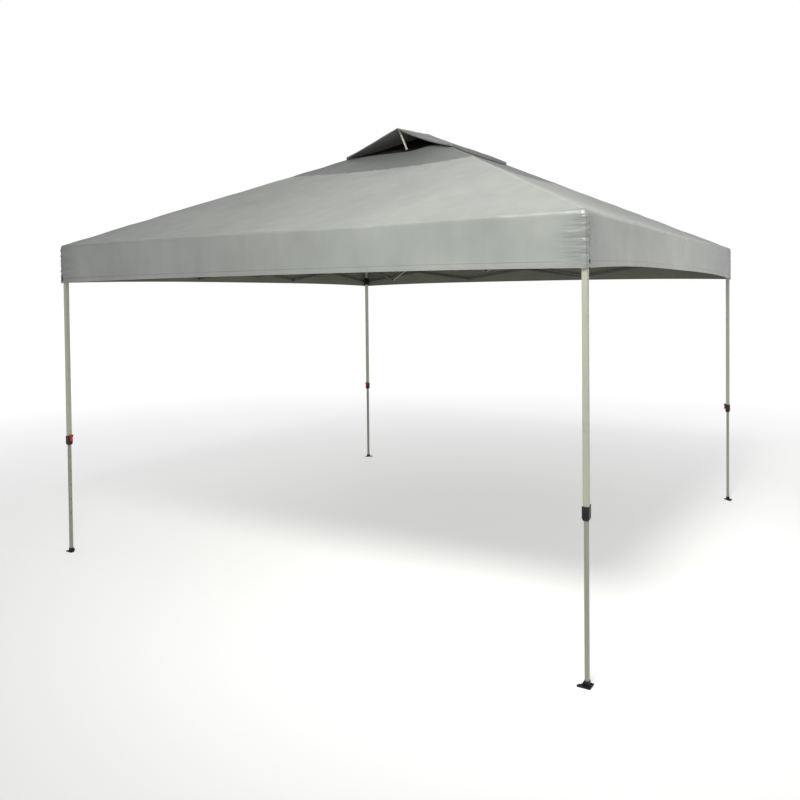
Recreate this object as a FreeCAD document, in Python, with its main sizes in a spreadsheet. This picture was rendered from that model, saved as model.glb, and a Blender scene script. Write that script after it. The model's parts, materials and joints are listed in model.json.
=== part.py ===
"""Pop-up canopy: a square roof on four telescopic legs, held open by a scissor frame.

Frame of reference: millimetres, +Z up, origin on the ground under the centre of the roof,
-Y is the front.  The frame has four-fold symmetry about Z.  Every corner piece is modelled
for the front left corner and turned about Z by quarter turns, and every side's truss is
modelled for the front side, which starts at the front left corner.
"""
import FreeCAD, Part
import math
import os

CORNERS = ("front_left", "front_right", "rear_right", "rear_left")
SIDES = ("front", "right", "rear", "left")
BAYS = 3

DIMENSIONS = {
    # plan and heights of the open frame
    "half_span": 1800.0,
    "pivot_offset": 48.0,
    "upper_pivot_height": 2045.0,
    "lower_pivot_height": 1876.0,
    "hub_pivot_radius": 32.0,
    # legs
    "outer_tube_width": 26.0,
    "outer_tube_wall": 1.2,
    "outer_tube_bottom": 762.0,
    "outer_tube_top": 2060.0,
    "tube_corner_radius": 2.5,
    "inner_tube_width": 19.0,
    "inner_tube_wall": 1.2,
    "inner_tube_bottom": 5.0,
    "inner_tube_top": 890.0,
    "lock_hole_radius": 3.5,
    "lock_hole_pitch": 96.0,
    "highest_lock_hole": 650.0,
    # height adjuster
    "housing_width": 33.0,
    "housing_bottom": 729.0,
    "housing_taper_height": 13.0,
    "housing_top": 791.0,
    "housing_foot_width": 24.0,
    "moulded_corner_radius": 3.5,
    "tube_clearance": 0.4,
    "ear_width": 3.0,
    "ear_half_height": 7.0,
    "ear_tip_reach": 5.0,
    "ear_gap": 0.4,
    "lever_width": 18.0,
    "lever_thickness": 8.0,
    "lever_length": 34.0,
    "lever_heel": 3.0,
    "lever_pivot_reach": 22.0,
    "lever_pivot_height": 790.0,
    "lever_pin_radius": 2.0,
    "lever_pin_gap": 0.3,
    "grip_depth": 3.0,
    "grip_height": 6.0,
    # foot
    "foot_length": 62.0,
    "foot_width": 58.0,
    "foot_heel_reach": 23.0,
    "foot_side_reach": 30.0,
    "foot_plate_thickness": 5.0,
    "foot_corner_radius": 5.0,
    "foot_cut_angle": 48.0,
    "foot_cut_size": 70.0,
    "foot_boot_width": 25.0,
    "foot_boot_height": 25.0,
    "foot_rib_thickness": 5.0,
    "foot_rib_length": 8.0,
    "foot_rib_height": 14.0,
    "stake_hole_radius": 5.0,
    "toe_hole_reach": 26.0,
    "toe_hole_offset": 20.0,
    "heel_hole_reach": 12.0,
    "heel_hole_offset": 20.0,
    # scissor bars, in two layers each side of the truss plane
    "bar_height": 16.0,
    "bar_thickness": 9.0,
    "bar_wall": 1.0,
    "bar_corner_radius": 1.5,
    "layer_gap": 1.0,
    "pin_radius": 3.0,
    "pin_end_gap": 0.4,
    "pin_hole_radius": 3.4,
    "pin_head_radius": 5.5,
    "pin_head_height": 1.6,
    # folding arms from the hub to the corners
    "arm_height": 18.0,
    "arm_thickness": 10.0,
    "arm_wall": 1.2,
    # corner bracket and slider
    "bracket_inner_reach": 17.0,
    "bracket_bottom": 2018.0,
    "bracket_top": 2066.0,
    "lug_thickness": 8.5,
    "lug_height": 20.0,
    "slider_outer_wall": 3.0,
    "slider_clearance": 0.5,
    "slider_height": 70.0,
    # hub and peak pole
    "hub_core_radius": 17.0,
    "hub_height": 66.0,
    "hub_cap_radius": 27.0,
    "hub_cap_height": 10.0,
    "hub_lug_root": 11.0,
    "pole_radius": 11.0,
    "pole_wall": 1.2,
    "pole_seat_depth": 30.0,
    "pole_clearance": 0.2,
    "pole_cap_drop": 16.0,
    "pole_cap_radius": 24.0,
    "pole_cap_height": 14.0,
    # strut that props the front edge of the vent cap
    "prop_radius": 7.0,
    "prop_foot_side": 60.0,
    "prop_foot_reach": 407.0,
    "prop_foot_lift": 3.0,
    "prop_top_reach": 412.0,
    "prop_top_drop": 10.0,
    # canopy and vent cap
    "canopy_half_width": 1820.0,
    "eave_height": 2073.5,
    "peak_height": 2924.0,
    "valance_bottom": 1824.4,
    "fabric_thickness": 3.0,
    "vent_half_width": 400.0,
    "cap_half_width": 437.0,
    "cap_corner_height": 2732.6,
    "cap_gable_height": 2892.6,
}

doc = FreeCAD.newDocument("canopy_tent")
sheet = doc.addObject("Spreadsheet::Sheet", "dimensions")
for row, (alias, value) in enumerate(DIMENSIONS.items(), start=1):
    sheet.set("A%d" % row, alias)
    sheet.set("B%d" % row, str(value))
    sheet.setAlias("B%d" % row, alias)
doc.recompute()

X_AXIS = FreeCAD.Vector(1, 0, 0)
Y_AXIS = FreeCAD.Vector(0, 1, 0)
Z_AXIS = FreeCAD.Vector(0, 0, 1)
LOCK_HOLES = 5
# A box's edges along each axis, in the order that the kernel numbers them.
EDGES_ALONG = {"x": (9, 10, 11, 12), "z": (1, 3, 5, 7)}
nodes = {}


def size(alias):
    """The number in one cell of the sheet."""
    return float(sheet.get(alias))


def bound(text):
    """Turn aliases in a formula into references to the sheet."""
    words = text.replace("(", " ( ").replace(")", " ) ").split()
    return " ".join("dimensions." + w if w in DIMENSIONS else w for w in words)


def bind(obj, prop, text):
    """Bind one property to a formula of aliases."""
    obj.setExpression(prop, bound(str(text)))


# Derived sizes of the linkage. A rising and a falling bar cross in each bay.
BAY_LENGTH = 2 * (size("half_span") - size("pivot_offset")) / BAYS
TRUSS_DEPTH = size("upper_pivot_height") - size("lower_pivot_height")
REST_ANGLE = math.degrees(math.atan2(TRUSS_DEPTH, BAY_LENGTH))
BAR_LENGTH = math.hypot(BAY_LENGTH, TRUSS_DEPTH)
# Two arms span half a diagonal, so at every angle the hub stays at the upper pivots' height.
ARM_LENGTH = BAYS * math.sqrt(2) * BAR_LENGTH / 4
CORNER_PIVOT_REACH = math.sqrt(2) * size("pivot_offset") - size("hub_pivot_radius")


def block(name, low, high):
    """A box between two corners, each given as three formulas."""
    obj = doc.addObject("Part::Box", name)
    for prop, axis, a, b in zip(("Length", "Width", "Height"), "xyz", low, high):
        bind(obj, prop, "( %s ) - ( %s )" % (b, a))
        bind(obj, "Placement.Base." + axis, a)
    return obj


def rod(name, radius, start, length, axis=Z_AXIS):
    """A cylinder along an axis from a start point; radius, start and length are formulas."""
    obj = doc.addObject("Part::Cylinder", name)
    bind(obj, "Radius", radius)
    bind(obj, "Height", length)
    obj.Placement = FreeCAD.Placement(FreeCAD.Vector(), FreeCAD.Rotation(Z_AXIS, axis))
    for letter, value in zip("xyz", start):
        bind(obj, "Placement.Base." + letter, value)
    return obj


def rounded(box, radius, axis="z"):
    """A box with its four edges along one axis rounded."""
    obj = doc.addObject("Part::Fillet", box.Name + "_rounded")
    obj.Base = box
    obj.Edges = [(edge, size(radius), size(radius)) for edge in EDGES_ALONG[axis]]
    return obj


def square_tube(name, width, wall, bottom, top):
    """A square tube about the Z axis, open at both ends, with rounded corners."""
    half = "( %s ) / 2" % width
    core = "( %s ) / 2 - %s" % (width, wall)
    solid = block(name + "_outside", ("0 - " + half, "0 - " + half, bottom), (half, half, top))
    outside = rounded(solid, "tube_corner_radius")
    inside = block(name + "_inside", ("0 - ( %s )" % core, "0 - ( %s )" % core, bottom + " - 1"),
                   (core, core, top + " + 1"))
    return cut(name, outside, [inside])


def fuse(name, shapes):
    """One solid from several."""
    obj = doc.addObject("Part::MultiFuse", name)
    obj.Shapes = shapes
    return obj


def cut(name, base, tools):
    """The base less the tools."""
    obj = doc.addObject("Part::Cut", name)
    obj.Base = base
    obj.Tool = tools[0] if len(tools) == 1 else fuse(name + "_tools", tools)
    return obj


def gather(name, shapes):
    """Several separate solids in one node."""
    obj = doc.addObject("Part::Compound", name)
    obj.Links = shapes
    return obj


def keep(node, obj, placement):
    """Name a finished sub-part and put it in its place."""
    obj.Label = node
    obj.Placement = placement
    nodes[node] = obj


def at_corner(turn):
    """The leg axis of a corner, with local +X and +Y along the two sides that meet there."""
    spin = FreeCAD.Placement(FreeCAD.Vector(), FreeCAD.Rotation(Z_AXIS, 90 * turn))
    corner = FreeCAD.Vector(-size("half_span"), -size("half_span"), 0)
    return spin.multiply(FreeCAD.Placement(corner, FreeCAD.Rotation()))


def on_side(turn, along, height, falling):
    """A scissor bar's own frame: its pivots lie on local X, and positive angles fall."""
    place = at_corner(turn)
    start = FreeCAD.Placement(FreeCAD.Vector(along, 0, height), FreeCAD.Rotation(Y_AXIS, falling))
    return place.multiply(start)


def on_diagonal(turn, reach, height, falling):
    """An arm's own frame, on the diagonal from the hub to a corner."""
    spin = FreeCAD.Placement(FreeCAD.Vector(), FreeCAD.Rotation(Z_AXIS, 225 + 90 * turn))
    start = FreeCAD.Placement(FreeCAD.Vector(reach, 0, height), FreeCAD.Rotation(Y_AXIS, falling))
    return spin.multiply(start)


def pin_reach(thickness):
    """How far a pin's shank stands out past the pivot plane, through a layer of a thickness."""
    return "( layer_gap + %s + pin_end_gap )" % thickness


def pivot_pin(name, x, thickness):
    """A headed pin along local +Y, from the outer layer's far face through the inner layer."""
    root = "( layer_gap + %s )" % thickness
    reach = pin_reach(thickness)
    shank = rod(name + "_shank", "pin_radius", (x, "0 - " + root, "0"),
                "%s + %s" % (root, reach), Y_AXIS)
    head = rod(name + "_head", "pin_head_radius", (x, reach, "0"), "pin_head_height", Y_AXIS)
    return [shank, head]


def hollow_bar(name, length, height, thickness, wall, side, ends):
    """A flat tube along local X in one layer, on the given side of the pivot plane."""
    near = "layer_gap"
    far = "( layer_gap + %s )" % thickness
    low_y, high_y = (near, far) if side > 0 else ("0 - " + far, "0 - " + near)
    half = "%s / 2" % height
    solid = block(name + "_outside", ("0 - %s" % ends, low_y, "0 - " + half),
                  ("%s + %s" % (length, ends), high_y, half))
    outside = rounded(solid, "bar_corner_radius", "x")
    inside = block(name + "_inside",
                   ("0 - %s - 1" % ends, "%s + %s" % (low_y, wall), "%s - %s" % (wall, half)),
                   ("%s + %s + 1" % (length, ends), "%s - %s" % (high_y, wall),
                    "%s - %s" % (half, wall)))
    return cut(name, outside, [inside])


def pin_hole(name, x, side, thickness):
    """A cutter for a pin's running hole through one layer."""
    start = "0 - %s - 2" % thickness if side < 0 else "0"
    return rod(name, "pin_hole_radius", (x, start, "0"), "layer_gap + %s + 2" % thickness, Y_AXIS)


def rising_bar(node, placement):
    """An outer-layer bar, which carries the pins at its ends and its middle."""
    tube = hollow_bar(node + "_tube", BAR_LENGTH, "bar_height", "bar_thickness", "bar_wall", -1,
                      "bar_height / 2")
    pins = []
    for index in range(3):
        pins += pivot_pin("%s_pin_%d" % (node, index), index * BAR_LENGTH / 2, "bar_thickness")
    keep(node, fuse(node, [tube] + pins), placement)


def falling_bar(node, placement):
    """An inner-layer bar, with running holes for three pins."""
    tube = hollow_bar(node + "_tube", BAR_LENGTH, "bar_height", "bar_thickness", "bar_wall", 1,
                      "bar_height / 2")
    holes = [pin_hole("%s_hole_%d" % (node, i), i * BAR_LENGTH / 2, 1, "bar_thickness")
             for i in range(3)]
    keep(node, cut(node, tube, holes), placement)


def truss(turn):
    """The six scissor bars of one side."""
    rest = REST_ANGLE
    for bay in range(BAYS):
        along = size("pivot_offset") + bay * BAY_LENGTH
        rising = on_side(turn, along, size("lower_pivot_height"), -rest)
        falling = on_side(turn, along, size("upper_pivot_height"), rest)
        rising_bar("%s_rising_bar_%d" % (SIDES[turn], bay + 1), rising)
        falling_bar("%s_falling_bar_%d" % (SIDES[turn], bay + 1), falling)


def arms(turn):
    """The inner and outer arm between the hub and one corner, joined at a knee."""
    ends = "arm_height / 2"
    inner = "inner_arm_" + CORNERS[turn]
    tube = hollow_bar(inner + "_tube", ARM_LENGTH, "arm_height", "arm_thickness", "arm_wall", -1,
                      ends)
    drilled = cut(inner + "_drilled", tube, [pin_hole(inner + "_hole", "0", -1, "arm_thickness")])
    knee = pivot_pin(inner + "_knee", ARM_LENGTH, "arm_thickness")
    top = size("upper_pivot_height")
    keep(inner, fuse(inner, [drilled] + knee),
         on_diagonal(turn, size("hub_pivot_radius"), top, REST_ANGLE))

    outer = "outer_arm_" + CORNERS[turn]
    tube = hollow_bar(outer + "_tube", ARM_LENGTH, "arm_height", "arm_thickness", "arm_wall", 1,
                      ends)
    holes = [pin_hole("%s_hole_%d" % (outer, i), x, 1, "arm_thickness")
             for i, x in enumerate((0, ARM_LENGTH))]
    lean = math.radians(REST_ANGLE)
    reach = size("hub_pivot_radius") + ARM_LENGTH * math.cos(lean)
    keep(outer, cut(outer, tube, holes),
         on_diagonal(turn, reach, top - ARM_LENGTH * math.sin(lean), -REST_ANGLE))


def layer_span(layer):
    """Where a lug in one of the two layers starts and ends, across the pivot plane."""
    if layer > 0:
        return "layer_gap", "layer_gap + lug_thickness"
    return "0 - layer_gap - lug_thickness", "0 - layer_gap"


def lug_pin(name, spot, layer, thickness, axis):
    """The pin of a lug, out of its inner face through a layer of a thickness; spot places it."""
    root = "layer_gap" if layer > 0 else "0 - layer_gap"
    reach = pin_reach(thickness)
    tip = "0 - " + reach if layer > 0 else reach
    away = axis * -layer
    return [rod(name + "_pin", "pin_radius", spot(root), "layer_gap + " + reach, away),
            rod(name + "_pin_head", "pin_head_radius", spot(tip), "pin_head_height", away)]


def lug(name, layer, height, pinned, along="x"):
    """A lug at the pivot offset, with either a pin or a hole; along x or along y."""
    def placed(reach, across, z):
        return (reach, across, z) if along == "x" else (across, reach, z)

    axis = Y_AXIS if along == "x" else X_AXIS
    near, far = layer_span(layer)
    plate = block(name, placed("outer_tube_width / 2 - 1", near, "%s - lug_height / 2" % height),
                  placed("pivot_offset + lug_height / 2", far, "%s + lug_height / 2" % height))
    if pinned:
        return [plate] + lug_pin(name, lambda across: placed("pivot_offset", across, height), layer,
                                 "bar_thickness", axis)
    hole = rod(name + "_hole", "pin_hole_radius", placed("pivot_offset", near + " - 1", height),
               "lug_thickness + 2", axis)
    return [cut(name + "_drilled", plate, [hole])]


def diagonal_lug(name, reach, height, root, tip, angle):
    """A pinned lug on the diagonal, turned about Z by an angle."""
    near, far = layer_span(1)
    plate = block(name + "_plate", (root, near, "0 - lug_height / 2"),
                  (tip, far, "lug_height / 2"))
    pin = lug_pin(name, lambda across: (reach, across, "0"), 1, "arm_thickness", Y_AXIS)
    whole = fuse(name, [plate] + pin)
    whole.Placement = FreeCAD.Placement(FreeCAD.Vector(0, 0, size(height)),
                                        FreeCAD.Rotation(Z_AXIS, angle))
    return whole


def outer_leg(turn):
    """The outer tube and the bracket on its top, which carries three pivots."""
    node = "outer_leg_" + CORNERS[turn]
    tube = square_tube(node + "_tube", "outer_tube_width", "outer_tube_wall", "outer_tube_bottom",
                       "outer_tube_top")
    half = "outer_tube_width / 2"
    shell = block(node + "_bracket_block", ("0 - " + half, "0 - " + half, "bracket_bottom"),
                  ("bracket_inner_reach", "bracket_inner_reach", "bracket_top"))
    bore = block(node + "_bracket_bore", ("0 - %s - 1" % half, "0 - %s - 1" % half,
                                          "bracket_bottom - 1"), (half, half, "outer_tube_top"))
    height = "upper_pivot_height"
    lugs = lug(node + "_first_lug", -1, height, True)
    lugs += lug(node + "_last_lug", 1, height, False, along="y")
    inward = diagonal_lug(node + "_arm_lug", CORNER_PIVOT_REACH, height, "outer_tube_width * 0.75",
                          "%s + lug_height / 2" % CORNER_PIVOT_REACH, 45)
    body = fuse(node + "_bracket_body", [shell] + lugs + [inward])
    bracket = cut(node + "_bracket", body, [bore])
    keep(node, gather(node, [tube, bracket]), at_corner(turn))


def slider(turn):
    """The collar on the outer tube, which carries the two lower pivots."""
    node = "slider_" + CORNERS[turn]
    hole = "( outer_tube_width / 2 + slider_clearance )"
    outer = "( outer_tube_width / 2 + slider_clearance + slider_outer_wall )"
    low = "lower_pivot_height - slider_height / 2"
    high = "lower_pivot_height + slider_height / 2"
    collar = rounded(block(node + "_collar", ("0 - " + outer, "0 - " + outer, low),
                           ("bracket_inner_reach", "bracket_inner_reach", high)),
                     "tube_corner_radius")
    bore = block(node + "_bore", ("0 - " + hole, "0 - " + hole, low + " - 1"),
                 (hole, hole, high + " + 1"))
    height = "lower_pivot_height"
    lugs = lug(node + "_first_lug", 1, height, False)
    lugs += lug(node + "_last_lug", -1, height, True, along="y")
    body = fuse(node + "_body", [collar] + lugs)
    keep(node, cut(node, body, [bore]), at_corner(turn))


def housing(turn):
    """The plastic height adjuster at the foot of the outer tube."""
    node = "adjuster_housing_" + CORNERS[turn]
    half = "housing_width / 2"
    collar_bottom = "housing_bottom + housing_taper_height"
    collar = block(node + "_collar", ("0 - " + half, "0 - " + half, collar_bottom),
                   (half, half, "housing_top"))
    taper = doc.addObject("Part::Wedge", node + "_taper")
    foot = "housing_foot_width / 2"
    for prop, text in (("Xmin", "0 - " + foot), ("Xmax", foot), ("Zmin", "0 - " + foot),
                       ("Zmax", foot), ("X2min", "0 - " + half), ("X2max", half),
                       ("Z2min", "0 - " + half), ("Z2max", half), ("Ymin", "housing_bottom"),
                       ("Ymax", collar_bottom)):
        bind(taper, prop, text)
    taper.Placement = FreeCAD.Placement(FreeCAD.Vector(), FreeCAD.Rotation(X_AXIS, 90))
    envelope = rounded(block(node + "_envelope", ("0 - " + half, "0 - " + half, "housing_bottom"),
                             (half, half, "housing_top")), "moulded_corner_radius")
    casing = doc.addObject("Part::Common", node + "_casing")
    casing.Base = fuse(node + "_casing_body", [collar, taper])
    casing.Tool = envelope
    ears = []
    for index, side in enumerate((-1, 1)):
        near = "lever_width / 2 + ear_gap"
        far = "lever_width / 2 + ear_gap + ear_width"
        low, high = (near, far) if side > 0 else ("0 - ( %s )" % far, "0 - ( %s )" % near)
        ears.append(block("%s_ear_%d" % (node, index),
                          ("housing_width / 2 - 1", low, "lever_pivot_height - ear_half_height"),
                          ("lever_pivot_reach + ear_tip_reach", high,
                           "lever_pivot_height + ear_half_height")))
    pin_bore = rod(node + "_pin_bore", "lever_pin_radius + lever_pin_gap",
                   ("lever_pivot_reach", "0 - lever_width", "lever_pivot_height"),
                   "lever_width * 2", Y_AXIS)
    outer_hole = "( outer_tube_width / 2 + tube_clearance / 2 )"
    inner_hole = "( inner_tube_width / 2 + tube_clearance )"
    seat = block(node + "_seat", ("0 - " + outer_hole, "0 - " + outer_hole, "outer_tube_bottom"),
                 (outer_hole, outer_hole, "housing_top + 1"))
    passage = block(node + "_passage", ("0 - " + inner_hole, "0 - " + inner_hole,
                                        "housing_bottom - 1"),
                    (inner_hole, inner_hole, "housing_top + 1"))
    solid = fuse(node + "_body", [casing] + ears)
    keep(node, cut(node, solid, [pin_bore, seat, passage]), at_corner(turn))


def lever(turn):
    """The spring-loaded release lever on the housing, with its pin."""
    node = "release_lever_" + CORNERS[turn]
    half = "lever_width / 2"
    near = "lever_pivot_reach - lever_thickness / 2"
    far = "lever_pivot_reach + lever_thickness / 2"
    bottom = "lever_pivot_height - lever_length"
    blade = block(node + "_blade", (near, "0 - " + half, bottom),
                  (far, half, "lever_pivot_height + lever_heel"))
    grip = block(node + "_grip", (far, "0 - " + half, bottom),
                 (far + " + grip_depth", half, bottom + " + grip_height"))
    pin = rod(node + "_pin", "lever_pin_radius",
              ("lever_pivot_reach", "0 - %s - ear_width" % half, "lever_pivot_height"),
              "lever_width + ear_width * 2", Y_AXIS)
    keep(node, fuse(node, [blade, grip, pin]), at_corner(turn))


def inner_leg(turn):
    """The inner tube, with the row of lock holes in the face towards the lever."""
    node = "inner_leg_" + CORNERS[turn]
    tube = square_tube(node + "_tube", "inner_tube_width", "inner_tube_wall", "inner_tube_bottom",
                       "inner_tube_top")
    holes = [rod("%s_hole_%d" % (node, i), "lock_hole_radius",
                 ("0", "0", "highest_lock_hole - %d * lock_hole_pitch" % i),
                 "inner_tube_width", X_AXIS) for i in range(LOCK_HOLES)]
    keep(node, cut(node, tube, holes), at_corner(turn))


def foot(turn):
    """The plastic foot: a plate with one corner cut off, two stake holes, and a boot."""
    node = "foot_" + CORNERS[turn]
    plate = rounded(block(node + "_plate", ("0 - foot_side_reach", "0 - foot_heel_reach", "0"),
                          ("foot_width - foot_side_reach", "foot_length - foot_heel_reach",
                           "foot_plate_thickness")), "foot_corner_radius")
    corner_cut = block(node + "_corner_cut", ("foot_width - foot_side_reach", "0", "0 - 1"),
                       ("foot_width - foot_side_reach + foot_cut_size", "foot_cut_size",
                        "foot_plate_thickness + 1"))
    corner_cut.Placement = FreeCAD.Placement(FreeCAD.Vector(),
                                             FreeCAD.Rotation(Z_AXIS, size("foot_cut_angle")))
    half = "foot_boot_width / 2"
    boot = rounded(block(node + "_boot", ("0 - " + half, "0 - " + half, "0"),
                         (half, half, "foot_boot_height")), "moulded_corner_radius")
    rib_half = "foot_rib_thickness / 2"
    rib = block(node + "_rib", ("0 - " + rib_half, "0", "0"),
                (rib_half, half + " + foot_rib_length", "foot_rib_height"))
    socket = "( inner_tube_width / 2 + tube_clearance / 2 )"
    bore = block(node + "_socket", ("0 - " + socket, "0 - " + socket, "inner_tube_bottom"),
                 (socket, socket, "foot_boot_height + 1"))
    holes = [rod("%s_stake_hole_%d" % (node, i), "stake_hole_radius", (x, y, "0 - 1"),
                 "foot_plate_thickness + 2")
             for i, (x, y) in enumerate((("0 - toe_hole_offset", "toe_hole_reach"),
                                         ("heel_hole_offset", "0 - heel_hole_reach")))]
    body = fuse(node + "_body", [plate, boot, rib])
    keep(node, cut(node, body, [corner_cut, bore] + holes), at_corner(turn))


def hub():
    """The hub, whose four lugs carry the inner arms, with the seat for the peak pole."""
    middle = "upper_pivot_height"
    core = rod("hub_core", "hub_core_radius", ("0", "0", middle + " - hub_height / 2"),
               "hub_height")
    cap = rod("hub_cap", "hub_cap_radius",
              ("0", "0", middle + " + hub_height / 2 - hub_cap_height"), "hub_cap_height")
    lugs = [diagonal_lug("hub_lug_%d" % turn, "hub_pivot_radius", middle, "hub_lug_root",
                         "hub_pivot_radius + lug_height / 2", 225 + 90 * turn)
            for turn in range(len(CORNERS))]
    body = fuse("hub_body", [core, cap] + lugs)
    seat = rod("hub_seat", "pole_radius + pole_clearance",
               ("0", "0", middle + " + hub_height / 2 - pole_seat_depth"), "pole_seat_depth + 1")
    keep("centre_hub", cut("centre_hub", body, [seat]), FreeCAD.Placement())


def peak_pole():
    """The pole from the hub to the peak, with the cap that carries the cloth."""
    bottom = "upper_pivot_height + hub_height / 2 - pole_seat_depth"
    top = "peak_height - fabric_thickness - pole_cap_drop - pole_cap_height"
    outside = rod("pole_outside", "pole_radius", ("0", "0", bottom),
                  "%s - ( %s )" % (top, bottom))
    inside = rod("pole_inside", "pole_radius - pole_wall", ("0", "0", bottom + " - 1"),
                 "%s - ( %s ) + 1" % (top, bottom))
    tube = cut("pole_tube", outside, [inside])
    knob = rod("pole_cap", "pole_cap_radius", ("0", "0", top), "pole_cap_height")
    keep("peak_pole", fuse("peak_pole", [tube, knob]), FreeCAD.Placement())


def slab(name, points, drop):
    """A flat panel through the given points, as thick as the drop measured straight down."""
    face = Part.Face(Part.makePolygon(points + points[:1]))
    panel = doc.addObject("Part::Feature", name)
    panel.Shape = face.extrude(FreeCAD.Vector(0, 0, -drop))
    return panel


def turned(point, turn):
    """A point turned about Z by quarter turns."""
    return FreeCAD.Rotation(Z_AXIS, 90 * turn).multVec(FreeCAD.Vector(*point))


def roof_top(reach):
    """Height of the roof's upper face at a distance out from the centre."""
    fall = (size("peak_height") - size("eave_height")) / size("canopy_half_width")
    return size("peak_height") - fall * reach


def canopy():
    """The roof, open at the vent, and the valance, as one panel a side each."""
    wide = size("canopy_half_width")
    inner = wide - size("fabric_thickness")
    vent = size("vent_half_width")
    eave = size("eave_height")
    drop = size("fabric_thickness")
    roof = [(-wide, -wide, eave), (wide, -wide, eave), (vent, -vent, roof_top(vent)),
            (-vent, -vent, roof_top(vent))]
    hem_top = eave - drop
    hem = [(-wide, -wide, hem_top), (wide, -wide, hem_top), (inner, -inner, hem_top),
           (-inner, -inner, hem_top)]
    panels = []
    for turn, side in enumerate(SIDES):
        panels.append(slab(side + "_roof_panel", [turned(p, turn) for p in roof], drop))
        panels.append(slab(side + "_valance", [turned(p, turn) for p in hem],
                           hem_top - size("valance_bottom")))
    keep("canopy", gather("canopy", panels), FreeCAD.Placement())


def vent_prop():
    """The strut that stands on the roof's vent edge and holds up the cap's gable."""
    foot_reach = size("prop_foot_reach")
    low = FreeCAD.Vector(size("prop_foot_side"), -foot_reach,
                         roof_top(foot_reach) + size("prop_foot_lift"))
    high = FreeCAD.Vector(0, -size("prop_top_reach"),
                          size("cap_gable_height") - size("prop_top_drop"))
    strut = doc.addObject("Part::Cylinder", "vent_prop")
    bind(strut, "Radius", "prop_radius")
    bind(strut, "Height", (high - low).Length)
    strut.Placement = FreeCAD.Placement(low, FreeCAD.Rotation(Z_AXIS, high - low))
    return strut


def vent_cap():
    """The raised cap over the vent, whose front edge a strut props up into a gable."""
    half = size("cap_half_width")
    low = size("cap_corner_height")
    peak = FreeCAD.Vector(0, 0, size("peak_height"))
    rim = [FreeCAD.Vector(-half, -half, low),
           FreeCAD.Vector(0, -half, size("cap_gable_height")),
           FreeCAD.Vector(half, -half, low), FreeCAD.Vector(half, half, low),
           FreeCAD.Vector(-half, half, low)]
    panels = [slab("cap_panel_%d" % i, [peak, a, b], size("fabric_thickness"))
              for i, (a, b) in enumerate(zip(rim, rim[1:] + rim[:1]))]
    keep("vent_cap", gather("vent_cap", panels + [vent_prop()]), FreeCAD.Placement())


def build():
    """Make every sub-part."""
    for turn in range(len(CORNERS)):
        truss(turn)
        arms(turn)
        outer_leg(turn)
        slider(turn)
        housing(turn)
        lever(turn)
        inner_leg(turn)
        foot(turn)
    hub()
    peak_pole()
    canopy()
    vent_cap()


def check():
    """Stop if anything failed to compute, or a sub-part isn't a valid solid."""
    for obj in doc.Objects:
        if "Invalid" in obj.State or "Error" in obj.State:
            raise RuntimeError("%s failed: %s" % (obj.Label, obj.State))
    for node, obj in nodes.items():
        shape = obj.Shape
        if shape.isNull() or not shape.isValid() or not shape.Solids or shape.Volume <= 0:
            raise RuntimeError("%s is not a valid solid" % node)


def write():
    """Write one STEP file for each sub-part."""
    os.makedirs("parts", exist_ok=True)
    for node, obj in nodes.items():
        obj.Shape.exportStep("parts/%s.step" % node)


build()
doc.recompute()
check()
write()
print("%d sub-parts, rest angle %.4f degrees, bar %.3f, arm %.3f" %
      (len(nodes), REST_ANGLE, BAR_LENGTH, ARM_LENGTH))
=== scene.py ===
"""Looks of the pop-up canopy: cloth roof, vent cap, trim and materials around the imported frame."""
import json
import math

import bpy
import numpy as np
from mathutils import Matrix, Vector, noise


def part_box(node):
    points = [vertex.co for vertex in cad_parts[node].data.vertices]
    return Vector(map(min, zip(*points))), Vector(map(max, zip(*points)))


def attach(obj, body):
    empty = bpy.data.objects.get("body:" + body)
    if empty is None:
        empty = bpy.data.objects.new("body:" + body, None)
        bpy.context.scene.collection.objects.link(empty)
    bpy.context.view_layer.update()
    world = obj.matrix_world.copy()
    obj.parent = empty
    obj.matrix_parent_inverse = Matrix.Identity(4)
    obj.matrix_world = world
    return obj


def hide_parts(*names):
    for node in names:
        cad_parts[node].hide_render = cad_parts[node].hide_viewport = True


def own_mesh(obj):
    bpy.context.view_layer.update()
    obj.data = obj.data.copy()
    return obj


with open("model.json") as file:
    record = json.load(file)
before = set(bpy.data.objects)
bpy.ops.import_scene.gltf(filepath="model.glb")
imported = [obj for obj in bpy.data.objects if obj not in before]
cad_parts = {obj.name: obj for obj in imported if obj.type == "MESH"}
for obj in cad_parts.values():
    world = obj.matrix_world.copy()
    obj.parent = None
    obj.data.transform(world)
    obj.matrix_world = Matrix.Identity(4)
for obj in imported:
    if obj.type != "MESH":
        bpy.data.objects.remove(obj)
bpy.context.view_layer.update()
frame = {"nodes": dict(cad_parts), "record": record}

ROOT = "hub_and_canopy"
CORNERS = ("front_left", "front_right", "rear_right", "rear_left")
SIDES = ("front", "right", "rear", "left")
OUTWARD = ((0, -1), (1, 0), (0, 1), (-1, 0))
ALONG = ((1, 0), (0, 1), (-1, 0), (0, -1))

# Sizes read from the frame, in metres.
canopy_low, canopy_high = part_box("canopy")
_, cap_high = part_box("vent_cap")
WIDE = canopy_high.x
HEM_HEIGHT = canopy_low.z
CAP_HALF = cap_high.x
CAP_PEAK = cap_high.z
CLOTH = 0.0012

# Shape of the roof and valance. HEM_RISES is how far the hem arches up on each side.
EAVE_HEIGHT = 2.0735
EAVE_RADIUS = 0.014
SLOPE = (CAP_PEAK - EAVE_HEIGHT) / WIDE
VENT_HALF = 0.40
VENT_LIFT = 0.022
SEAM_HALF = 0.73
HEM_RISES = (0.011, 0.032, 0.020, 0.020)
HEM_START = 0.90
GORES_A_SIDE = 12
STEPS_A_GORE = 10
ROOF_ROWS = 72
EAVE_ROWS = 5
VALANCE_ROWS = 22

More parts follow.
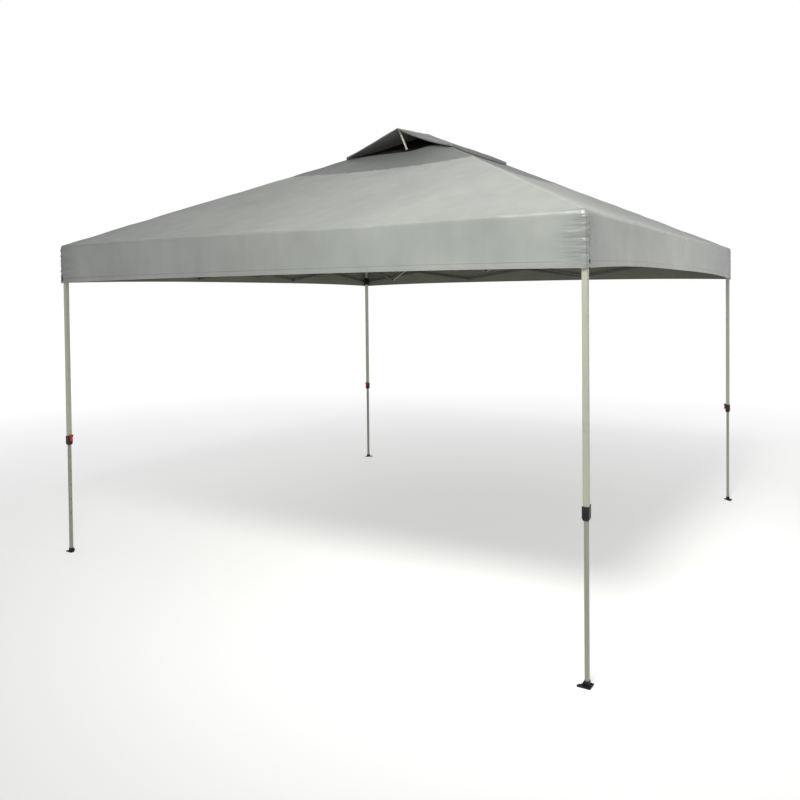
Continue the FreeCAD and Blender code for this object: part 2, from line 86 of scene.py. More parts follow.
# Shape of the vent cap and of the mesh under it.
CAP_CORNER = 2.7326
CAP_GABLE = 2.8926
CAP_SKIRT = 0.012
CAP_GORES_A_SIDE = 6
CAP_STEPS_A_GORE = 7
CAP_STEPS_A_SIDE = CAP_GORES_A_SIDE * CAP_STEPS_A_GORE
CAP_ROWS = 30
CAP_INNER_SHARE = 0.004
CAP_SEAM_SHARE = 0.9
SKIRT_ROWS = 5
SCREEN_ROWS = 24
SCREEN_TOP = 2.9065
SCREEN_THICKNESS = 0.0006
POLE_CAP_RADIUS = 0.026

# Strength of the light from all round.
SURROUND = 0.56


# ---------------------------------------------------------------- materials

def new_material(name):
    """A node material, its links and its shader."""
    material = bpy.data.materials.new(name)
    material.use_nodes = True
    tree = material.node_tree
    return material, tree, tree.nodes["Principled BSDF"]


def add(tree, kind, **inputs):
    """A node with some of its inputs set."""
    node = tree.nodes.new(kind)
    for key, value in inputs.items():
        node.inputs[key.replace("_", " ")].default_value = value
    return node


def position(tree, scale=(1, 1, 1)):
    """Object coordinates, stretched by a scale."""
    coordinate = tree.nodes.new("ShaderNodeTexCoord")
    mapping = add(tree, "ShaderNodeMapping", Scale=scale)
    tree.links.new(coordinate.outputs["Object"], mapping.inputs["Vector"])
    return mapping.outputs["Vector"]


def noise_field(tree, scale, detail=3.0, stretch=(1, 1, 1), roughness=0.5):
    """A noise value over the surface."""
    node = add(tree, "ShaderNodeTexNoise", Scale=scale, Detail=detail, Roughness=roughness)
    tree.links.new(position(tree, stretch), node.inputs["Vector"])
    return node.outputs["Fac"]


def ramp(tree, value, stops):
    """Colours or greys along a value."""
    node = tree.nodes.new("ShaderNodeValToRGB")
    while len(node.color_ramp.elements) < len(stops):
        node.color_ramp.elements.new(0.5)
    for element, (place, colour) in zip(node.color_ramp.elements, stops):
        element.position = place
        element.color = (*colour, 1) if len(colour) == 3 else (colour[0],) * 3 + (1,)
    tree.links.new(value, node.inputs["Fac"])
    return node.outputs["Color"]


def mix(tree, kind, factor, first, second):
    """Two colours mixed, each a socket or a colour."""
    node = tree.nodes.new("ShaderNodeMix")
    node.data_type = "RGBA"
    node.blend_type = kind
    for socket, value in ((node.inputs[0], factor), (node.inputs[6], first),
                          (node.inputs[7], second)):
        if isinstance(value, bpy.types.NodeSocket):
            tree.links.new(value, socket)
        else:
            socket.default_value = value
    return node.outputs[2]


def bump(tree, shader, fields):
    """Chained bumps, each of a height, a strength and a distance."""
    last = None
    for height, strength, distance in fields:
        node = add(tree, "ShaderNodeBump", Strength=strength, Distance=distance)
        tree.links.new(height, node.inputs["Height"])
        if last:
            tree.links.new(last, node.inputs["Normal"])
        last = node.outputs["Normal"]
    tree.links.new(last, shader.inputs["Normal"])


def weave(tree, pitch):
    """Over and under threads along two directions."""
    product = tree.nodes.new("ShaderNodeMath")
    product.operation = "MAXIMUM"
    for index, direction in enumerate(("X", "Y")):
        wave = add(tree, "ShaderNodeTexWave", Scale=0.05 / pitch, Distortion=0.6)
        wave.bands_direction = direction
        tree.links.new(position(tree, (6.28, 6.28, 6.28)), wave.inputs["Vector"])
        tree.links.new(wave.outputs["Fac"], product.inputs[index])
    return product.outputs[0]


def maths(tree, operation, *values):
    """A math node's result; each value is a socket or a number."""
    node = tree.nodes.new("ShaderNodeMath")
    node.operation = operation
    for socket, value in zip(node.inputs, values):
        if isinstance(value, bpy.types.NodeSocket):
            tree.links.new(value, socket)
        else:
            socket.default_value = value
    return node.outputs[0]


def cloth_place(tree):
    """Where a point lies on the cloth: metres along its side from the middle, and metres out."""
    node = tree.nodes.new("ShaderNodeUVMap")
    node.uv_map = "cloth"
    split = tree.nodes.new("ShaderNodeSeparateXYZ")
    tree.links.new(node.outputs["UV"], split.inputs[0])
    return maths(tree, "ABSOLUTE", split.outputs["X"]), split.outputs["Y"], split.outputs["X"]


def tint(tree, colour, mask, factor):
    """The colour multiplied by a factor where the mask is one."""
    return mix(tree, "MULTIPLY", mask, colour, (*factor, 1))


def cloth_material(name, light, dark, upper, shine):
    """Coated polyester: fine weave, broad mottling, seams, stitches, a darker middle round the vent,
    painted shade in creases and corner gathers, and a painted highlight along the hips.
    """
    material, tree, shader = new_material(name)
    aside, out, along = cloth_place(tree)
    mottling = ramp(tree, noise_field(tree, 1.3, 4.0), [(0.3, dark), (0.7, light)])
    # Noise streaks darken the cloth to 0.92: painted shade standing in for creases.
    crease_shade = ramp(tree, noise_field(tree, 9.0, 5.0, (1, 1, 0.35)),
                   [(0.35, (0.92,)), (0.65, (1.0,))])
    colour = mix(tree, "MULTIPLY", 1.0, mottling, crease_shade)
    # The cloth inside the seam ring, the whole vent cap included, is darkened by the upper factor.
    colour = tint(tree, colour, maths(tree, "LESS_THAN", out, SEAM_HALF), upper)
    seam = maths(tree, "COMPARE", out, SEAM_HALF, 0.006)
    puckers = add(tree, "ShaderNodeTexNoise", Scale=26.0, Detail=1.0)
    puckers.noise_dimensions = "1D"
    tree.links.new(along, puckers.inputs["W"])
    stitched = maths(tree, "GREATER_THAN", puckers.outputs["Fac"], 0.52)
    colour = tint(tree, colour, maths(tree, "MULTIPLY", seam, stitched), (1.35, 1.35, 1.33))
    # The hip seams are lightened by 1.22: a painted highlight along the hip ridges.
    hip = maths(tree, "COMPARE", maths(tree, "SUBTRACT", out, aside), 0.0, 0.010)
    colour = tint(tree, colour, hip, (1.22, 1.22, 1.20))
    hem_line = maths(tree, "COMPARE", out, WIDE + HEM_START * (EAVE_HEIGHT - HEM_HEIGHT), 0.0016)
    corner_line = maths(tree, "COMPARE", aside, WIDE - 0.010, 0.0014)
    lines = maths(tree, "MAXIMUM", hem_line,
                  maths(tree, "MULTIPLY", corner_line, maths(tree, "GREATER_THAN", out, WIDE)))
    colour = tint(tree, colour, lines, (0.76, 0.76, 0.76))
    corner = add(tree, "ShaderNodeMapRange", From_Min=WIDE - 0.17, From_Max=WIDE)
    tree.links.new(aside, corner.inputs["Value"])
    gathered = maths(tree, "MULTIPLY", corner.outputs["Result"],
                     maths(tree, "GREATER_THAN", out, WIDE * 0.995))
    # Noise darkens the valance corners down to 0.62: painted shade in the gathers, whose folds the
    # same noise also bumps.
    gathers_and_shade = maths(tree, "MULTIPLY", gathered, noise_field(tree, 1.0, 3.0, (6, 6, 38)))
    colour = tint(tree, colour, gathers_and_shade, (0.62, 0.63, 0.65))
    tree.links.new(colour, shader.inputs["Base Color"])
    gloss = ramp(tree, noise_field(tree, 5.0, 3.0),
                 [(0.2, (shine - 0.05,)), (0.8, (shine + 0.07,))])
    tree.links.new(gloss, shader.inputs["Roughness"])
    shader.inputs["Metallic"].default_value = 0.25
    shader.inputs["Sheen Weight"].default_value = 0.10
    shader.inputs["Specular IOR Level"].default_value = 0.3
    bump(tree, shader, [(noise_field(tree, 2.2, 2.0), 0.8, 0.06), (gathers_and_shade, 0.9, 0.012),
                        (noise_field(tree, 14.0, 4.0), 0.10, 0.004),
                        (noise_field(tree, 60.0, 2.0, (1, 1, 0.5)), 0.08, 0.001),
                        (weave(tree, 0.0011), 0.12, 0.0002)])
    return material


def lining_material(name, dark, light):
    """The matt inner coating of the cloth."""
    material, tree, shader = new_material(name)
    colour = ramp(tree, noise_field(tree, 2.2, 4.0), [(0.3, dark), (0.7, light)])
    tree.links.new(colour, shader.inputs["Base Color"])
    shader.inputs["Roughness"].default_value = 0.75
    shader.inputs["Specular IOR Level"].default_value = 0.15
    bump(tree, shader, [(weave(tree, 0.0011), 0.15, 0.0002), (noise_field(tree, 16.0), 0.1, 0.003)])
    return material


def steel_material(name, dark, light):
    """Powder-coated tube with fine orange peel and light scuffs."""
    material, tree, shader = new_material(name)
    base = ramp(tree, noise_field(tree, 3.0, 4.0, (1, 1, 0.3)), [(0.3, dark), (0.7, light)])
    scuffs = ramp(tree, noise_field(tree, 55.0, 6.0, (1, 1, 0.12), 0.7),
                  [(0.28, (0.72,)), (0.40, (1.0,))])
    tree.links.new(mix(tree, "MULTIPLY", 1.0, base, scuffs), shader.inputs["Base Color"])
    gloss = ramp(tree, noise_field(tree, 20.0), [(0.3, (0.34,)), (0.7, (0.48,))])
    tree.links.new(gloss, shader.inputs["Roughness"])
    shader.inputs["Metallic"].default_value = 0.15
    shader.inputs["Specular IOR Level"].default_value = 0.35
    bump(tree, shader, [(noise_field(tree, 900.0, 2.0), 0.12, 0.0002)])
    return material


def plastic_material(name, light, dark, rough):
    """Moulded plastic with a fine spark-eroded grain and rubbed patches."""
    material, tree, shader = new_material(name)
    base = ramp(tree, noise_field(tree, 30.0, 4.0), [(0.35, dark), (0.75, light)])
    tree.links.new(base, shader.inputs["Base Color"])
    gloss = ramp(tree, noise_field(tree, 45.0, 3.0),
                 [(0.3, (rough - 0.08,)), (0.7, (rough + 0.08,))])
    tree.links.new(gloss, shader.inputs["Roughness"])
    shader.inputs["Specular IOR Level"].default_value = 0.22
    bump(tree, shader, [(noise_field(tree, 1400.0, 2.0), 0.25, 0.0002)])
    return material


def webbing_material():
    """Woven black tape."""
    material, tree, shader = new_material("webbing")
    base = ramp(tree, noise_field(tree, 220.0, 3.0),
                [(0.3, (0.010, 0.010, 0.011)), (0.7, (0.030, 0.030, 0.032))])
    tree.links.new(base, shader.inputs["Base Color"])
    shader.inputs["Roughness"].default_value = 0.85
    shader.inputs["Specular IOR Level"].default_value = 0.15
    bump(tree, shader, [(weave(tree, 0.0018), 0.5, 0.0005)])
    return material


def mesh_material():
    """Knitted black mosquito mesh."""
    material, tree, shader = new_material("vent_mesh")
    base = ramp(tree, weave(tree, 0.003),
                [(0.2, (0.004, 0.004, 0.004)), (0.8, (0.030, 0.027, 0.024))])
    tree.links.new(base, shader.inputs["Base Color"])
    shader.inputs["Roughness"].default_value = 0.9
    shader.inputs["Specular IOR Level"].default_value = 0.05
    bump(tree, shader, [(weave(tree, 0.003), 0.6, 0.0006)])
    return material


roof_cloth = cloth_material("roof_cloth", (0.315, 0.330, 0.312), (0.275, 0.288, 0.274),
                            (0.46, 0.47, 0.48), 0.42)
underside = lining_material("cloth_underside", (0.130, 0.131, 0.104), (0.170, 0.171, 0.137))
# The cap's lining is the underside coating made nearly three times paler: painted light under the
# cap.
lit_cap_lining = lining_material("lit_cap_lining", (0.370, 0.378, 0.360), (0.440, 0.448, 0.430))
leg_steel = steel_material("leg_steel", (0.36, 0.365, 0.295), (0.43, 0.435, 0.355))
inner_steel = steel_material("inner_steel", (0.25, 0.25, 0.205), (0.30, 0.30, 0.245))
shaded_frame_steel = steel_material("shaded_frame_steel", (0.060, 0.060, 0.054), (0.085, 0.085, 0.076))
black_plastic = plastic_material("black_plastic", (0.022, 0.022, 0.024),
                                 (0.012, 0.012, 0.013), 0.42)
red_plastic = plastic_material("red_plastic", (0.62, 0.030, 0.015), (0.50, 0.020, 0.010), 0.33)
webbing = webbing_material()
vent_mesh = mesh_material()

# The bars' steel is painted shade: the leg paint darkened about sixfold to shaded pixels under the
# roof.
# The inner legs' darker steel is also fitted to shaded pixels, so the real paint may be paler.
SLOT_MATERIALS = {"painted_steel": leg_steel, "black_plastic": black_plastic,
                  "red_plastic": red_plastic, "canopy_fabric": roof_cloth}


def paint_frame():
    """Give every carried-over CAD node its finish; bars and arms get painted shade, inner legs a
    darker steel.
    """
    for part in frame["record"]["subparts"]:
        name = part["node"]
        material = SLOT_MATERIALS[part["material_slot"]]
        # Bars and arms take the leg paint darkened into painted shade.
        if "_bar_" in name or "_arm_" in name:
            material = shaded_frame_steel
        elif name.startswith("inner_leg_"):
            material = inner_steel
        node = frame["nodes"][name]
        node.data.materials.clear()
        node.data.materials.append(material)


# ---------------------------------------------------------------- meshes

def make_object(name, points, faces, materials, indices=None, normals=None, places=None):
    """A smooth mesh object from arrays; places are cloth coordinates for its points."""
    mesh = bpy.data.meshes.new(name)
    mesh.from_pydata([tuple(p) for p in points], [], faces)
    for material in materials:
        mesh.materials.append(material)
    mesh.polygons.foreach_set("use_smooth", [True] * len(mesh.polygons))
    if indices is not None:
        mesh.polygons.foreach_set("material_index", indices)
    if places is not None:
        layer = mesh.uv_layers.new(name="cloth")
        corners = np.empty(len(mesh.loops), int)
        mesh.loops.foreach_get("vertex_index", corners)
        layer.data.foreach_set("uv", np.asarray(places, float)[corners].ravel())
    mesh.update()
    if normals is not None:
        mesh.normals_split_custom_set_from_vertices([tuple(n) for n in normals])
    obj = bpy.data.objects.new(name, mesh)
    bpy.context.scene.collection.objects.link(obj)
    return obj


def grid_normals(grid, closed):
    """Unit normals of a grid of points, rows outward by columns round."""
    if closed:
        across = np.roll(grid, -1, axis=1) - np.roll(grid, 1, axis=1)
    else:
        across = np.gradient(grid, axis=1)
    along = np.gradient(grid, axis=0)
    normal = np.cross(along, across)
    return normal / np.maximum(np.linalg.norm(normal, axis=2, keepdims=True), 1e-12)


def cloth_faces(rows, columns):
    """Quads of the outer and the inner layer, and of the rims that close the sheet between them."""
    count = rows * columns
    faces = []
    indices = []
    for row in range(rows - 1):
        for column in range(columns - 1):
            a = row * columns + column
            b, c, d = a + 1, a + columns, a + columns + 1
            faces.append((a, c, d, b))
            faces.append((a + count, b + count, d + count, c + count))
            indices += [0, 1]
    for row, flip in ((0, True), (rows - 1, False)):
        for column in range(columns - 1):
            a = row * columns + column
            quad = (a, a + count, a + 1 + count, a + 1)
            faces.append(quad[::-1] if flip else quad)
            indices.append(0)
    for column, flip in ((0, False), (columns - 1, True)):
        for row in range(rows - 1):
            a = row * columns + column
            quad = (a, a + count, a + columns + count, a + columns)
            faces.append(quad[::-1] if flip else quad)
            indices.append(1)
    return faces, indices


def ring_point(fraction, side):
    """A point on the unit square's side, and the direction outward there."""
    out = np.array(OUTWARD[side], float)
    along = np.array(ALONG[side], float)
    return out + along * (2 * fraction - 1), out


def from_corner(fraction, half):
    """Distance along a side from its nearer corner."""
    return min(fraction, 1 - fraction) * 2 * half


def crinkle(point, scale, seed):
    """Smooth random height between -1 and 1."""
    return noise.noise(Vector(point) * scale + Vector((seed, 2.1 * seed, 0.7 * seed)))


def roof_height(half, fraction, x, y):
    """Height of the roof cloth at a ring's half width and a share of the side."""
    reach = (half - VENT_HALF) / (WIDE - VENT_HALF)
    middle = 4 * fraction * (1 - fraction)
    base = CAP_PEAK - 0.012 - SLOPE * half
    eave_lift = 0.012 * reach
    sag = -0.030 * middle * math.sin(math.pi * min(max(reach, 0), 1)) ** 0.8
    near_hip = from_corner(fraction, half)
    ridge = 0.003 * math.exp(-(near_hip / 0.012) ** 2)
    tension = 0.004 * math.exp(-near_hip / 0.30) * crinkle((x, y, 0), 7.0, 3.1)
    seam = 0.0022 * math.exp(-((half - SEAM_HALF) / 0.010) ** 2)
    pucker = 0.0035 * math.exp(-((half - SEAM_HALF) / 0.030) ** 2) * crinkle((x, y, 0), 28.0, 5.0)
    waves = 0.005 * crinkle((x, y, 0), 1.7, 8.0) + 0.0018 * crinkle((x, y, 0), 6.0, 1.0)
    bow = (VENT_LIFT * math.exp(-((x - 0.27) / 0.13) ** 2) * math.exp(-((y + half) / 0.06) ** 2)
           * math.exp((VENT_HALF - half) / 0.08))
    return base + eave_lift + sag + ridge + tension + seam + pucker + bow + waves * (0.3 + middle)


def hem_height(fraction, side):
    """The hem hangs lowest at the corners and arches up between them."""
    return HEM_HEIGHT + 0.002 + HEM_RISES[side] * (1 - abs(2 * fraction - 1) ** 3.2)


def valance_point(share, fraction, side):
    """A point of the hanging valance; share runs from the eave to the hem.

    The cloth bulges outward only, because the truss bars lie close behind it."""
    place, out = ring_point(fraction, side)
    middle = 1 - abs(2 * fraction - 1) ** 4
    top = EAVE_HEIGHT - EAVE_RADIUS
    z = top + (hem_height(fraction, side) - top) * share
    flat = place * WIDE
    inward = 0.0022 * middle * math.sin(math.pi * min(share * 1.2, 1.0))
    ripple = 0.5 + 0.5 * crinkle((flat[0], flat[1], z * 0.35), 3.4, 4.0)
    corner = from_corner(fraction, WIDE)
    gather = 0.5 + 0.5 * crinkle((flat[0], flat[1], z * 2.0), 34.0, 6.0)
    hem = 0.0012 if share > HEM_START else 0.0
    hem += 0.0025 * math.exp(-corner / 0.020) * (1 + math.sin(z * 185 + 2 * gather))
    shift = 0.008 * ripple * middle * share + 0.005 * math.exp(-corner / 0.07) * gather
    flat = flat + out * (shift + hem - inward - 0.001)
    return flat[0], flat[1], z


def roof_grid():
    """All points of the roof and valance, as rows from the vent to the hem by columns round."""
    columns = []
    steps = GORES_A_SIDE * STEPS_A_GORE
    rows = np.linspace(0, 1, ROOF_ROWS)
    for side in range(4):
        for step in range(steps):
            fraction = step / steps
            place, _ = ring_point(fraction, side)
            column = []
            for share in rows:
                half = VENT_HALF + (WIDE - EAVE_RADIUS - VENT_HALF) * share
                flat = place * half
                column.append((flat[0], flat[1], roof_height(half, fraction, *flat)))
            last = column[-1]
            first = valance_point(0.0, fraction, side)
            for turn in range(1, EAVE_ROWS):
                angle = 0.5 * math.pi * turn / EAVE_ROWS
                low, high = math.sin(angle), 1 - math.cos(angle)
                column.append((last[0] + (first[0] - last[0]) * low,
                               last[1] + (first[1] - last[1]) * low,
                               last[2] + (first[2] - last[2]) * high))
            for share in np.linspace(0, 1, VALANCE_ROWS):
                column.append(valance_point(share, fraction, side))
            columns.append(column)
    return np.array(columns).transpose(1, 0, 2)


def roof_places(share):
    """Cloth coordinates of a gore's points: along the side, and out over the roof and down."""
    roof = np.linspace(VENT_HALF, WIDE, ROOF_ROWS)
    fall = np.linspace(WIDE, WIDE + EAVE_HEIGHT - HEM_HEIGHT, EAVE_ROWS + VALANCE_ROWS)[1:]
    out = np.concatenate([roof, fall])
    return np.stack([share[None, :] * np.minimum(out, WIDE)[:, None],
                     np.repeat(out[:, None], len(share), axis=1)], axis=2)


def cap_places(share):
    """Cloth coordinates of a cap gore's points, short of the hips so that no painted hip highlight
    shows.
    """
    out = np.append(np.linspace(CAP_INNER_SHARE, 1, CAP_ROWS), np.ones(SKIRT_ROWS)) * CAP_HALF
    return np.stack([share[None, :] * out[:, None] * CAP_SEAM_SHARE,
                     np.repeat(out[:, None], len(share), axis=1)], axis=2)


def gores(name, grid, steps, materials, thickness, places=None):
    """One closed sheet round the pole, kept in gores that share their edges' points and normals."""
    normal = grid_normals(grid, closed=True)
    inner = grid - normal * thickness
    rows, total = grid.shape[:2]
    a_side = total // steps // 4
    faces, indices = cloth_faces(rows, steps + 1)
    made = []
    for gore in range(4 * a_side):
        side, number = divmod(gore, a_side)
        pick = [(gore * steps + i) % total for i in range(steps + 1)]
        points = np.concatenate([grid[:, pick].reshape(-1, 3), inner[:, pick].reshape(-1, 3)])
        directions = normal[:, pick].reshape(-1, 3)
        laid = None
        if places is not None:
            spread = np.linspace(number / a_side, (number + 1) / a_side, steps + 1)
            laid = np.tile(places(2 * spread - 1).reshape(-1, 2), (2, 1))
        obj = make_object("%s_%s_%02d" % (name, SIDES[side], number + 1), points, faces, materials,
                          indices, np.concatenate([directions, -directions]), laid)
        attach(obj, ROOT)
        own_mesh(obj)
        made.append(obj)
    return made


def canopy_cloth():
    """The roof and valance."""
    made = gores("canopy_gore", roof_grid(), STEPS_A_GORE, [roof_cloth, underside], CLOTH,
                 roof_places)
    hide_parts("canopy")


def rim_height(fraction, side):
    """Height of the vent cap's edge: a gable on the propped front, slack to its right."""
    if side:
        return CAP_CORNER + 0.006 * math.sin(math.pi * fraction)
    middle = 1 - abs(2 * fraction - 1)
    slack = 1.08 if fraction < 0.5 else 1.40
    return CAP_CORNER + (CAP_GABLE - CAP_CORNER) * middle ** slack


def skirt_height(fraction, side, place):
    """Height of the cap's hem: on the roof at the sides and rear, and a narrow hem in front."""
    rim = rim_height(fraction, side)
    on_roof = roof_height(CAP_HALF, fraction, *(place * CAP_HALF)) + 0.004
    if side:
        return min(rim - 0.004, on_roof)
    corner = from_corner(fraction, CAP_HALF)
    return rim - 0.010 - (rim - 0.010 - on_roof) * math.exp(-corner / 0.025)


def vent_cap_cloth():
    """The vent cap over the peak, with its front edge propped into a gable."""
    columns = []
    for side in range(4):
        for step in range(CAP_STEPS_A_SIDE):
            fraction = step / CAP_STEPS_A_SIDE
            place, out = ring_point(fraction, side)
            rim = rim_height(fraction, side)
            middle = 4 * fraction * (1 - fraction)
            column = []
            for share in np.linspace(CAP_INNER_SHARE, 1, CAP_ROWS):
                flat = place * CAP_HALF * share
                sag = 0.004 * middle * math.sin(math.pi * share) if side else 0
                knob = 0.003 * math.exp(-(share * CAP_HALF / 0.03) ** 2)
                z = CAP_PEAK - 0.004 + (rim - CAP_PEAK + 0.003) * share - sag + knob
                z += 0.0022 * crinkle((flat[0], flat[1], 0), 9.0, 2.0) * share
                column.append((flat[0], flat[1], z))
            top = column[-1]
            hem = skirt_height(fraction, side, place)
            for row in range(1, SKIRT_ROWS + 1):
                fall = row / SKIRT_ROWS
                outward = 0.003 * math.sin(math.pi * fall / 2)
                column.append((top[0] + out[0] * outward, top[1] + out[1] * outward,
                               top[2] + (hem - top[2]) * fall))
            columns.append(column)
    grid = np.array(columns).transpose(1, 0, 2)
    slant = math.hypot(CAP_HALF, CAP_PEAK - CAP_CORNER)
    flat = (2 * CAP_HALF / CAP_GORES_A_SIDE, slant + CAP_SKIRT)
    made = gores("vent_cap_gore", grid, CAP_STEPS_A_GORE, [roof_cloth, lit_cap_lining], CLOTH,
                 cap_places)
    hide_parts("vent_cap")


def vent_screen():
    """The mesh sewn round the vent, lifted by the pole's cap into a pyramid under the cap."""
    columns = []
    for side in range(4):
        for step in range(CAP_STEPS_A_SIDE):
            fraction = step / CAP_STEPS_A_SIDE
            place, _ = ring_point(fraction, side)
            flat = place * VENT_HALF
            edge = roof_height(VENT_HALF, fraction, *flat) - 0.003
            column = []
            for share in np.linspace(0.02, 1, SCREEN_ROWS):
                beyond = share * VENT_HALF - POLE_CAP_RADIUS
                fall = max(0.0, beyond / (VENT_HALF - POLE_CAP_RADIUS))
                sag = 0.010 * math.sin(math.pi * fall)
                column.append((flat[0] * share, flat[1] * share,
                               SCREEN_TOP + (edge - SCREEN_TOP) * fall - sag))
            columns.append(column)
    grid = np.array(columns).transpose(1, 0, 2)
    slant = math.hypot(VENT_HALF, SCREEN_TOP - CAP_PEAK + SLOPE * VENT_HALF)
    flat = (2 * VENT_HALF / CAP_GORES_A_SIDE, slant)
    gores("vent_screen_gore", grid, CAP_STEPS_A_GORE, [vent_mesh, vent_mesh],
          SCREEN_THICKNESS)


def vent_prop():
    """The strut that stands on the roof's vent edge and holds up the cap's gable."""
    low = Vector((0.060, -0.407, CAP_PEAK - SLOPE * 0.407 + 0.003))
    high = Vector((0.0, -0.412, CAP_GABLE - 0.010))
    radius = 0.009
    length = (high - low).length
    profile = [(radius * 0.6, 0.0), (radius, 0.0015), (radius, 0.010), (radius * 0.82, 0.012),
               (radius * 0.82, length - 0.012), (radius, length - 0.010), (radius, length - 0.0015),
               (radius * 0.6, length)]
    obj = turned_profile("vent_prop", profile, low, (high - low).normalized(), leg_steel, 20)
    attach(obj, ROOT)
    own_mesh(obj)


def corner_tabs():
    """The black hook-and-loop tab that ties each valance corner to its leg."""
    length, width, thickness = 0.056, 0.016, 0.0016
    rows, columns = 12, 5
    for turn, corner in enumerate(CORNERS):
        spin = Matrix.Rotation(math.radians(90 * turn), 3, "Z")
        points = []
        for row in range(rows):
            drop = length * row / (rows - 1)
            taper = 0.35 + 0.65 * min(1.0, drop / (0.6 * length))
            for column in range(columns):
                across = (column / (columns - 1) - 0.5) * width * taper
                bulge = 0.0012 * math.cos(math.pi * (column / (columns - 1) - 0.5))
                local = Vector((-WIDE + 0.0105 + across, -WIDE - 0.0036 - bulge,
                                HEM_HEIGHT + length - drop))
                points.append(spin @ local)
        grid = np.array([tuple(p) for p in points]).reshape(rows, columns, 3)
        normal = grid_normals(grid, closed=False)
        inner = grid - normal * thickness
        faces, indices = cloth_faces(rows, columns)
        obj = make_object("corner_tab_" + corner,
                          np.concatenate([grid.reshape(-1, 3), inner.reshape(-1, 3)]), faces,
                          [webbing, webbing], indices)
        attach(obj, ROOT)
        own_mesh(obj)


def turned_profile(name, profile, centre, axis, material, segments=24):
    """A turned piece: a profile of (radius, height) about an axis through a point."""
    spin = Vector((0, 0, 1)).rotation_difference(axis).to_matrix()
    points = []
    faces = []
    for radius, height in profile:
        for step in range(segments):
            angle = 2 * math.pi * step / segments
            local = Vector((radius * math.cos(angle), radius * math.sin(angle), height))
            points.append(spin @ local + centre)
    for ring in range(len(profile) - 1):
        for step in range(segments):
            following = (step + 1) % segments
            a, b = ring * segments + step, ring * segments + following
            faces.append((a, b, b + segments, a + segments))
    faces.append(tuple(range(segments))[::-1])
    last = (len(profile) - 1) * segments
    faces.append(tuple(range(last, last + segments)))
    return make_object(name, points, faces, [material])


def joint_caps():
    """Domed plastic caps over the pins on the outer side of every rising bar."""
    profile = [(0.0115, 0.0), (0.0118, 0.0010), (0.0112, 0.0024), (0.0088, 0.0034),
               (0.0030, 0.0039)]
    for turn, side in enumerate(SIDES):
        out = Vector((*OUTWARD[turn], 0))
        along = Vector((*ALONG[turn], 0))
        for bay in range(3):
            node = "%s_rising_bar_%d" % (side, bay + 1)
            low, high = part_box(node)
            size = high - low
            reach = abs(size.dot(along)) / 2
            centre = (low + high) / 2
            face = max(low.dot(out), high.dot(out))
            for index, pin in enumerate(pin_points(centre, along, reach, high.z - low.z)):
                spot = pin + out * (face - pin.dot(out) + 0.0002)
                cap = turned_profile("%s_cap_%d" % (node, index + 1), profile, spot, out,
                                     black_plastic)
                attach(cap, node)


def pin_points(centre, along, reach, rise):
    """The three pin centres of a rising bar, from its box: half its width in from each end."""
    inset = 0.008
    lean = math.atan2(rise - 2 * inset, 2 * reach - 2 * inset)
    trim = inset * math.cos(lean) + inset * math.sin(lean)
    step = along * (reach - trim) + Vector((0, 0, rise / 2 - trim))
    return [centre - step, centre, centre + step]


# ---------------------------------------------------------------- stage

def camera():
    """The camera, fitted to the object's corners."""
    yaw, pitch, roll = (math.radians(a) for a in (-31.870, -1.276, -0.582))
    forward = Vector((math.cos(pitch) * math.sin(yaw), math.cos(pitch) * math.cos(yaw),
                      math.sin(pitch)))
    level = Vector((math.cos(yaw), -math.sin(yaw), 0))
    upright = level.cross(forward)
    right = level * math.cos(roll) + upright * math.sin(roll)
    up = upright * math.cos(roll) - level * math.sin(roll)
    data = bpy.data.cameras.new("camera")
    data.lens = 35.094
    data.shift_y = -0.1078
    data.clip_end = 200
    obj = bpy.data.objects.new("camera", data)
    turn = Matrix((right, up, -forward)).transposed()
    obj.matrix_world = Matrix.Translation((2.9005, -5.0906, 1.7129)) @ turn.to_4x4()
    bpy.context.scene.collection.objects.link(obj)
    bpy.context.scene.camera = obj


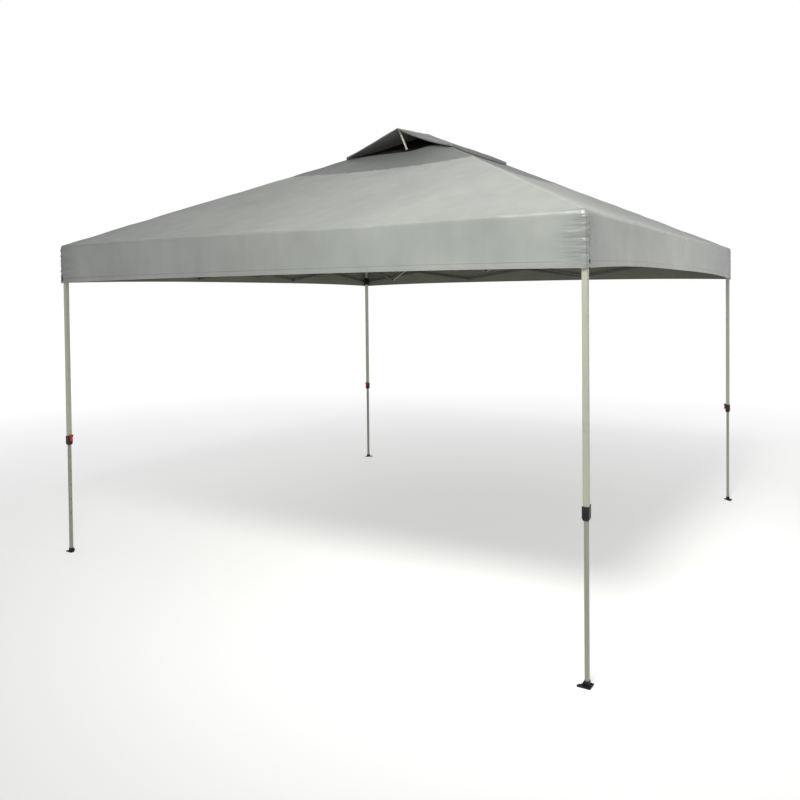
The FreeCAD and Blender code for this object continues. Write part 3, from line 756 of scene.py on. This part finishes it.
def floor():
    """A plain pale floor that glows a little, more so far away, as a lit studio sweep does."""
    size = 300
    obj = make_object("floor", [(-size, -size, 0), (size, -size, 0), (size, size, 0),
                                (-size, size, 0)], [(0, 1, 2, 3)], [])
    material, tree, shader = new_material("floor")
    shader.inputs["Base Color"].default_value = (0.80, 0.80, 0.80, 1)
    shader.inputs["Roughness"].default_value = 0.9
    shader.inputs["Specular IOR Level"].default_value = 0.0
    shader.inputs["Emission Color"].default_value = (1.0, 1.0, 1.0, 1)
    distance = tree.nodes.new("ShaderNodeVectorMath")
    distance.operation = "LENGTH"
    tree.links.new(position(tree), distance.inputs[0])
    rise = add(tree, "ShaderNodeMapRange", From_Min=3.5, From_Max=10.0, To_Min=0.33, To_Max=0.62)
    tree.links.new(distance.outputs["Value"], rise.inputs["Value"])
    tree.links.new(rise.outputs["Result"], shader.inputs["Emission Strength"])
    obj.data.materials.append(material)


def area_light(name, place, aim, size, power, colour, spread):
    """A large soft light pointed at a place."""
    data = bpy.data.lights.new(name, "AREA")
    data.shape = "DISK"
    data.size = size
    data.energy = power
    data.color = colour
    data.spread = math.radians(spread)
    obj = bpy.data.objects.new(name, data)
    obj.location = place
    obj.rotation_euler = (Vector(aim) - Vector(place)).to_track_quat("-Z", "Y").to_euler()
    obj.visible_camera = False
    bpy.context.scene.collection.objects.link(obj)


def surround():
    """A soft even surround, white where the camera sees it."""
    world = bpy.data.worlds.new("studio")
    world.use_nodes = True
    tree = world.node_tree
    background = tree.nodes["Background"]
    background.inputs["Color"].default_value = (1.0, 1.0, 1.0, 1)
    seen = tree.nodes.new("ShaderNodeLightPath").outputs["Is Camera Ray"]
    tree.links.new(maths(tree, "MULTIPLY_ADD", seen, 1.0 - SURROUND, SURROUND),
                   background.inputs["Strength"])
    bpy.context.scene.world = world
    bpy.context.scene.view_settings.view_transform = "Standard"


def lights():
    """A key over the front right of the roof, and a soft light on the right side."""
    area_light("key", (2.0, -4.2, 5.6), (1.3, -1.3, 2.2), 1.6, 53, (1.0, 1.0, 0.95), 70.0)
    area_light("side", (8.0, 0.5, 4.0), (1.8, 0, 2.3), 3.0, 15, (1.0, 0.97, 0.94), 36.0)


paint_frame()
canopy_cloth()
vent_cap_cloth()
vent_screen()
vent_prop()
corner_tabs()
joint_caps()
camera()
floor()
surround()
lights()
